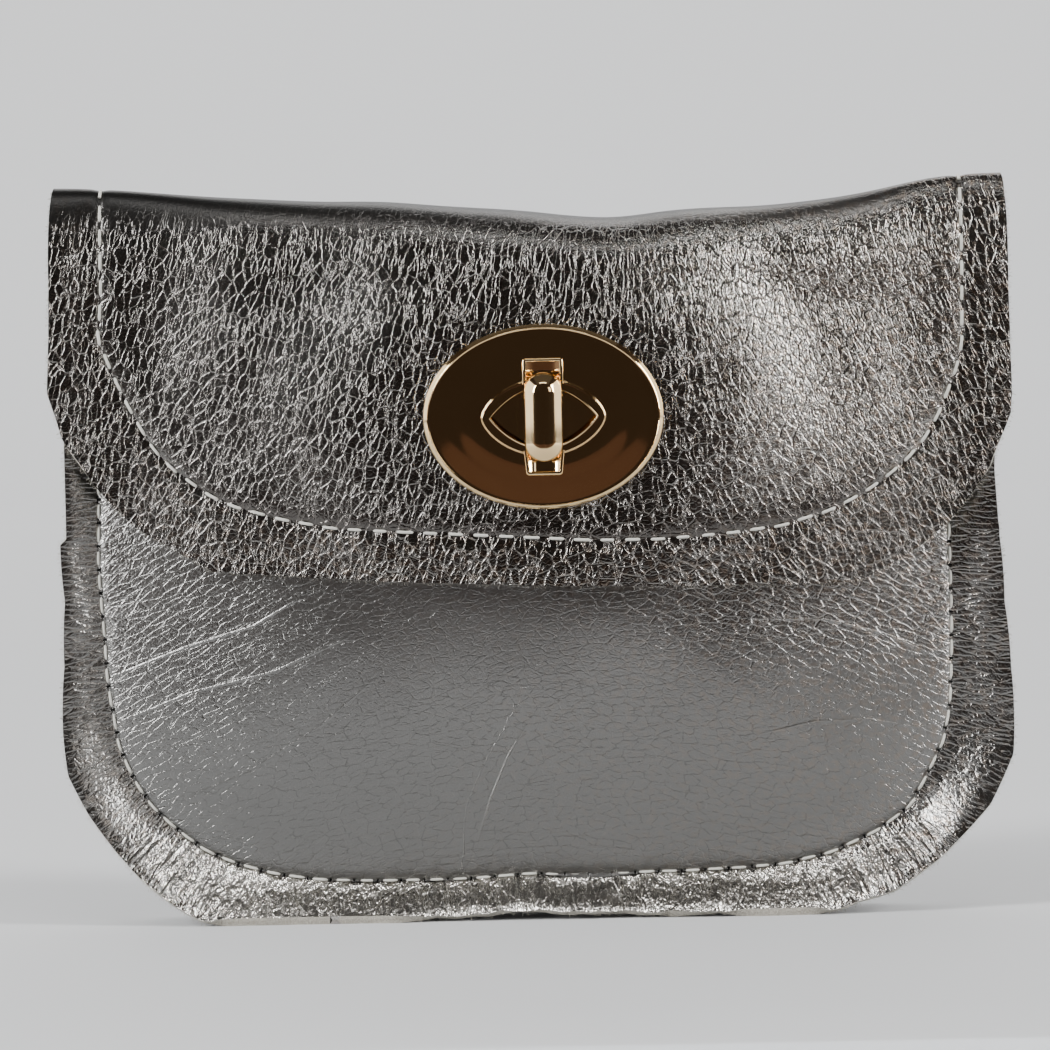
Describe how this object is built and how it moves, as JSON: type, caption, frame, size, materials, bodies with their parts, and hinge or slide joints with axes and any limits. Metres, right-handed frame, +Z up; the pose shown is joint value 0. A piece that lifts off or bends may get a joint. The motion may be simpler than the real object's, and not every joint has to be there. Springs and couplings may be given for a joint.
{
  "type": "turnlock coin purse",
  "caption": "Small puffed leather purse standing upright, with a sewn U-shaped pocket, a flap that folds over its top and an oval turn lock whose bar turns upright to hold the flap shut.",
  "frame": {"origin": "bottom centre of the bounding box: on the surface the purse stands on, under its middle", "axes": "+X to the right seen from the front, -Y forwards out of the lock, +Z up"},
  "size_m": [0.1388, 0.029, 0.1061],
  "materials": {
    "leather": "pebbled metallic pewter foil, semi-gloss",
    "lining": "matt suede",
    "thread": "pale grey-cream waxed thread",
    "gold": "polished light gold plating",
    "steel": "plain bright steel"
  },
  "bodies": {
    "purse": {"back_panel": "leather", "back_lining": "lining", "front_panel": "leather", "front_lining": "lining", "body_seam_thread_front": "thread", "body_seam_thread_back": "thread", "turn_base": "gold", "base_washer": "steel", "spring_washer": "steel"},
    "flap": {"flap_panel": "leather", "flap_lining": "lining", "flap_seam_thread": "thread", "lock_plate": "gold", "lock_backing_plate": "steel", "lock_screw_left": "steel", "lock_screw_right": "steel"},
    "bar": {"turn_bar": "gold", "detent_disc": "steel", "push_nut": "steel"}
  },
  "joints": [
    {"name": "flap_fold", "type": "hinge", "parent": "purse", "child": "flap", "pos_m": [0, 0.00599, 0.09985], "axis": [-1, 0, 0], "range_deg": [0, 165]},
    {"name": "bar_turn", "type": "hinge", "parent": "purse", "child": "bar", "pos_m": [0.0013, -0.01214, 0.0727], "axis": [0, -1, 0], "range_deg": [0, 90]}
  ]
}
